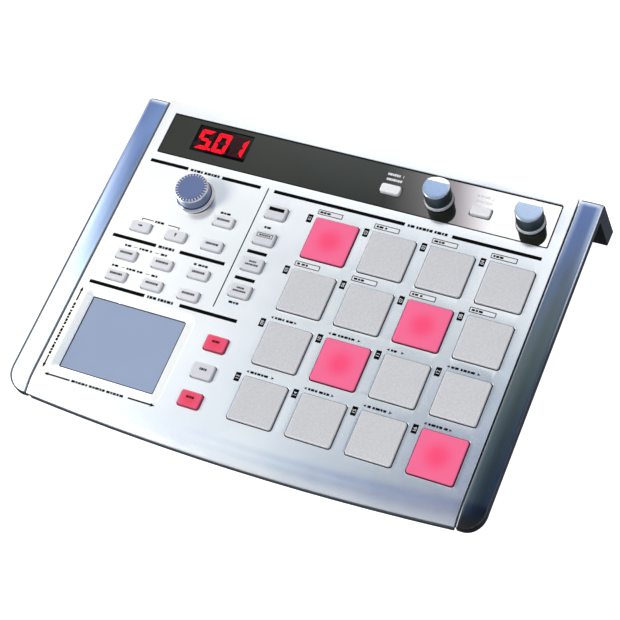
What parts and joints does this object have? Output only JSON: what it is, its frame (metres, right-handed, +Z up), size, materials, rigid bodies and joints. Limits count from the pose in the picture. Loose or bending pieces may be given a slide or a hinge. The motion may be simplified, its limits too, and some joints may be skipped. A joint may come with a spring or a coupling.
{
  "type": "midi pad controller",
  "caption": "Desk-top pad controller: tilted silver panel with a grid of square pads, push buttons, touch pad, encoder and knobs between metal side rails on rear legs.",
  "frame": {"origin": "middle of the footprint on the table top", "axes": "+X to the player's right, +Y to the rear, +Z up"},
  "size_m": [0.316, 0.243, 0.0595],
  "materials": {
    "silver_case": "satin silver paint",
    "dark_case": "fine grain",
    "rail_metal": "satin anodised with bright edges",
    "strip_gloss": "polished smoked window",
    "led_red": "lit segments behind the strip",
    "touch_blue": "fine satin film",
    "board_green": "solder mask",
    "sensor_film": "film",
    "black_plastic": "moulded",
    "steel": "plated",
    "foot_rubber": "matt",
    "encoder_silver": "metallised",
    "knob_grey": "satin with a light metallic top",
    "shaft_metal": "turned",
    "pad_rubber": "fine grain translucent grey",
    "pad_lit": "translucent, lit from below",
    "button_white": "translucent white",
    "button_lit": "translucent, lit from below"
  },
  "bodies": {
    "case": {"top_case": "silver_case", "bottom_case": "dark_case", "side_rail_left": "rail_metal", "side_rail_right": "rail_metal", "display_strip": "strip_gloss", "led_display": "led_red", "xy_touch_pad": "touch_blue", "main_board": "board_green", "pad_board": "board_green", "jack_board": "board_green", "pad_sensors": "sensor_film", "tact_switches": "black_plastic", "encoder_body": "steel", "knob_pots": "steel", "usb_socket": "steel", "midi_sockets": "black_plastic", "pedal_jack": "black_plastic", "rubber_feet": "foot_rubber", "case_screws": "steel"},
    "pad_01": {"pad_01": "pad_lit"},
    "pad_02": {"pad_02": "pad_rubber"},
    "pad_03": {"pad_03": "pad_rubber"},
    "pad_04": {"pad_04": "pad_rubber"},
    "pad_05": {"pad_05": "pad_rubber"},
    "pad_06": {"pad_06": "pad_rubber"},
    "pad_07": {"pad_07": "pad_lit"},
    "pad_08": {"pad_08": "pad_rubber"},
    "pad_09": {"pad_09": "pad_rubber"},
    "pad_10": {"pad_10": "pad_lit"},
    "pad_11": {"pad_11": "pad_rubber"},
    "pad_12": {"pad_12": "pad_rubber"},
    "pad_13": {"pad_13": "pad_rubber"},
    "pad_14": {"pad_14": "pad_rubber"},
    "pad_15": {"pad_15": "pad_rubber"},
    "pad_16": {"pad_16": "pad_lit"},
    "button_x": {"button_x": "button_white"},
    "button_y": {"button_y": "button_white"},
    "button_enter": {"button_enter": "button_white"},
    "button_menu": {"button_menu": "button_white"},
    "param_button_1": {"param_button_1": "button_white"},
    "param_button_2": {"param_button_2": "button_white"},
    "param_button_3": {"param_button_3": "button_white"},
    "param_button_4": {"param_button_4": "button_white"},
    "param_button_5": {"param_button_5": "button_white"},
    "param_button_6": {"param_button_6": "button_white"},
    "mode_button_1": {"mode_button_1": "button_white"},
    "mode_button_2": {"mode_button_2": "button_white"},
    "mode_button_3": {"mode_button_3": "button_white"},
    "mode_button_4": {"mode_button_4": "button_white"},
    "trigger_button_1": {"trigger_button_1": "button_lit"},
    "trigger_button_2": {"trigger_button_2": "button_white"},
    "trigger_button_3": {"trigger_button_3": "button_lit"},
    "assign_button_1": {"assign_button_1": "button_white"},
    "assign_button_2": {"assign_button_2": "button_white"},
    "encoder": {"encoder_knob": "encoder_silver", "encoder_shaft": "shaft_metal"},
    "knob_1": {"knob_1": "knob_grey", "knob_shaft_1": "shaft_metal"},
    "knob_2": {"knob_2": "knob_grey", "knob_shaft_2": "shaft_metal"}
  },
  "joints": [
    {"name": "pad_01_press", "type": "slide", "parent": "case", "child": "pad_01", "axis": [0, 0.1564, -0.9877], "range_m": [0, 0.0008], "stiffness_N_per_m": 3000, "springref_m": -0.0003},
    {"name": "pad_02_press", "type": "slide", "parent": "case", "child": "pad_02", "axis": [0, 0.1564, -0.9877], "range_m": [0, 0.0008], "stiffness_N_per_m": 3000, "springref_m": -0.0003},
    {"name": "pad_03_press", "type": "slide", "parent": "case", "child": "pad_03", "axis": [0, 0.1564, -0.9877], "range_m": [0, 0.0008], "stiffness_N_per_m": 3000, "springref_m": -0.0003},
    {"name": "pad_04_press", "type": "slide", "parent": "case", "child": "pad_04", "axis": [0, 0.1564, -0.9877], "range_m": [0, 0.0008], "stiffness_N_per_m": 3000, "springref_m": -0.0003},
    {"name": "pad_05_press", "type": "slide", "parent": "case", "child": "pad_05", "axis": [0, 0.1564, -0.9877], "range_m": [0, 0.0008], "stiffness_N_per_m": 3000, "springref_m": -0.0003},
    {"name": "pad_06_press", "type": "slide", "parent": "case", "child": "pad_06", "axis": [0, 0.1564, -0.9877], "range_m": [0, 0.0008], "stiffness_N_per_m": 3000, "springref_m": -0.0003},
    {"name": "pad_07_press", "type": "slide", "parent": "case", "child": "pad_07", "axis": [0, 0.1564, -0.9877], "range_m": [0, 0.0008], "stiffness_N_per_m": 3000, "springref_m": -0.0003},
    {"name": "pad_08_press", "type": "slide", "parent": "case", "child": "pad_08", "axis": [0, 0.1564, -0.9877], "range_m": [0, 0.0008], "stiffness_N_per_m": 3000, "springref_m": -0.0003},
    {"name": "pad_09_press", "type": "slide", "parent": "case", "child": "pad_09", "axis": [0, 0.1564, -0.9877], "range_m": [0, 0.0008], "stiffness_N_per_m": 3000, "springref_m": -0.0003},
    {"name": "pad_10_press", "type": "slide", "parent": "case", "child": "pad_10", "axis": [0, 0.1564, -0.9877], "range_m": [0, 0.0008], "stiffness_N_per_m": 3000, "springref_m": -0.0003},
    {"name": "pad_11_press", "type": "slide", "parent": "case", "child": "pad_11", "axis": [0, 0.1564, -0.9877], "range_m": [0, 0.0008], "stiffness_N_per_m": 3000, "springref_m": -0.0003},
    {"name": "pad_12_press", "type": "slide", "parent": "case", "child": "pad_12", "axis": [0, 0.1564, -0.9877], "range_m": [0, 0.0008], "stiffness_N_per_m": 3000, "springref_m": -0.0003},
    {"name": "pad_13_press", "type": "slide", "parent": "case", "child": "pad_13", "axis": [0, 0.1564, -0.9877], "range_m": [0, 0.0008], "stiffness_N_per_m": 3000, "springref_m": -0.0003},
    {"name": "pad_14_press", "type": "slide", "parent": "case", "child": "pad_14", "axis": [0, 0.1564, -0.9877], "range_m": [0, 0.0008], "stiffness_N_per_m": 3000, "springref_m": -0.0003},
    {"name": "pad_15_press", "type": "slide", "parent": "case", "child": "pad_15", "axis": [0, 0.1564, -0.9877], "range_m": [0, 0.0008], "stiffness_N_per_m": 3000, "springref_m": -0.0003},
    {"name": "pad_16_press", "type": "slide", "parent": "case", "child": "pad_16", "axis": [0, 0.1564, -0.9877], "range_m": [0, 0.0008], "stiffness_N_per_m": 3000, "springref_m": -0.0003},
    {"name": "button_x_press", "type": "slide", "parent": "case", "child": "button_x", "axis": [0, 0.1564, -0.9877], "range_m": [0, 0.0006], "stiffness_N_per_m": 2500, "springref_m": -0.0003},
    {"name": "button_y_press", "type": "slide", "parent": "case", "child": "button_y", "axis": [0, 0.1564, -0.9877], "range_m": [0, 0.0006], "stiffness_N_per_m": 2500, "springref_m": -0.0003},
    {"name": "button_enter_press", "type": "slide", "parent": "case", "child": "button_enter", "axis": [0, 0.1564, -0.9877], "range_m": [0, 0.0006], "stiffness_N_per_m": 2500, "springref_m": -0.0003},
    {"name": "button_menu_press", "type": "slide", "parent": "case", "child": "button_menu", "axis": [0, 0.1564, -0.9877], "range_m": [0, 0.0006], "stiffness_N_per_m": 2500, "springref_m": -0.0003},
    {"name": "param_button_1_press", "type": "slide", "parent": "case", "child": "param_button_1", "axis": [0, 0.1564, -0.9877], "range_m": [0, 0.0006], "stiffness_N_per_m": 2500, "springref_m": -0.0003},
    {"name": "param_button_2_press", "type": "slide", "parent": "case", "child": "param_button_2", "axis": [0, 0.1564, -0.9877], "range_m": [0, 0.0006], "stiffness_N_per_m": 2500, "springref_m": -0.0003},
    {"name": "param_button_3_press", "type": "slide", "parent": "case", "child": "param_button_3", "axis": [0, 0.1564, -0.9877], "range_m": [0, 0.0006], "stiffness_N_per_m": 2500, "springref_m": -0.0003},
    {"name": "param_button_4_press", "type": "slide", "parent": "case", "child": "param_button_4", "axis": [0, 0.1564, -0.9877], "range_m": [0, 0.0006], "stiffness_N_per_m": 2500, "springref_m": -0.0003},
    {"name": "param_button_5_press", "type": "slide", "parent": "case", "child": "param_button_5", "axis": [0, 0.1564, -0.9877], "range_m": [0, 0.0006], "stiffness_N_per_m": 2500, "springref_m": -0.0003},
    {"name": "param_button_6_press", "type": "slide", "parent": "case", "child": "param_button_6", "axis": [0, 0.1564, -0.9877], "range_m": [0, 0.0006], "stiffness_N_per_m": 2500, "springref_m": -0.0003},
    {"name": "mode_button_1_press", "type": "slide", "parent": "case", "child": "mode_button_1", "axis": [0, 0.1564, -0.9877], "range_m": [0, 0.0006], "stiffness_N_per_m": 2500, "springref_m": -0.0003},
    {"name": "mode_button_2_press", "type": "slide", "parent": "case", "child": "mode_button_2", "axis": [0, 0.1564, -0.9877], "range_m": [0, 0.0006], "stiffness_N_per_m": 2500, "springref_m": -0.0003},
    {"name": "mode_button_3_press", "type": "slide", "parent": "case", "child": "mode_button_3", "axis": [0, 0.1564, -0.9877], "range_m": [0, 0.0006], "stiffness_N_per_m": 2500, "springref_m": -0.0003},
    {"name": "mode_button_4_press", "type": "slide", "parent": "case", "child": "mode_button_4", "axis": [0, 0.1564, -0.9877], "range_m": [0, 0.0006], "stiffness_N_per_m": 2500, "springref_m": -0.0003},
    {"name": "trigger_button_1_press", "type": "slide", "parent": "case", "child": "trigger_button_1", "axis": [0, 0.1564, -0.9877], "range_m": [0, 0.0006], "stiffness_N_per_m": 2500, "springref_m": -0.0003},
    {"name": "trigger_button_2_press", "type": "slide", "parent": "case", "child": "trigger_button_2", "axis": [0, 0.1564, -0.9877], "range_m": [0, 0.0006], "stiffness_N_per_m": 2500, "springref_m": -0.0003},
    {"name": "trigger_button_3_press", "type": "slide", "parent": "case", "child": "trigger_button_3", "axis": [0, 0.1564, -0.9877], "range_m": [0, 0.0006], "stiffness_N_per_m": 2500, "springref_m": -0.0003},
    {"name": "assign_button_1_press", "type": "slide", "parent": "case", "child": "assign_button_1", "axis": [0, 0.1564, -0.9877], "range_m": [0, 0.0006], "stiffness_N_per_m": 2500, "springref_m": -0.0003},
    {"name": "assign_button_2_press", "type": "slide", "parent": "case", "child": "assign_button_2", "axis": [0, 0.1564, -0.9877], "range_m": [0, 0.0006], "stiffness_N_per_m": 2500, "springref_m": -0.0003},
    {"name": "encoder_turn", "type": "hinge", "parent": "case", "child": "encoder", "pos_m": [-0.0942, 0.04052, 0.03762], "axis": [0, -0.1564, 0.9877], "continuous": true},
    {"name": "knob_1_turn", "type": "hinge", "parent": "case", "child": "knob_1", "pos_m": [0.0591, 0.08003, 0.04387], "axis": [0, -0.1564, 0.9877], "range_deg": [-140, 140]},
    {"name": "knob_2_turn", "type": "hinge", "parent": "case", "child": "knob_2", "pos_m": [0.1191, 0.07983, 0.04384], "axis": [0, -0.1564, 0.9877], "range_deg": [-140, 140]}
  ]
}
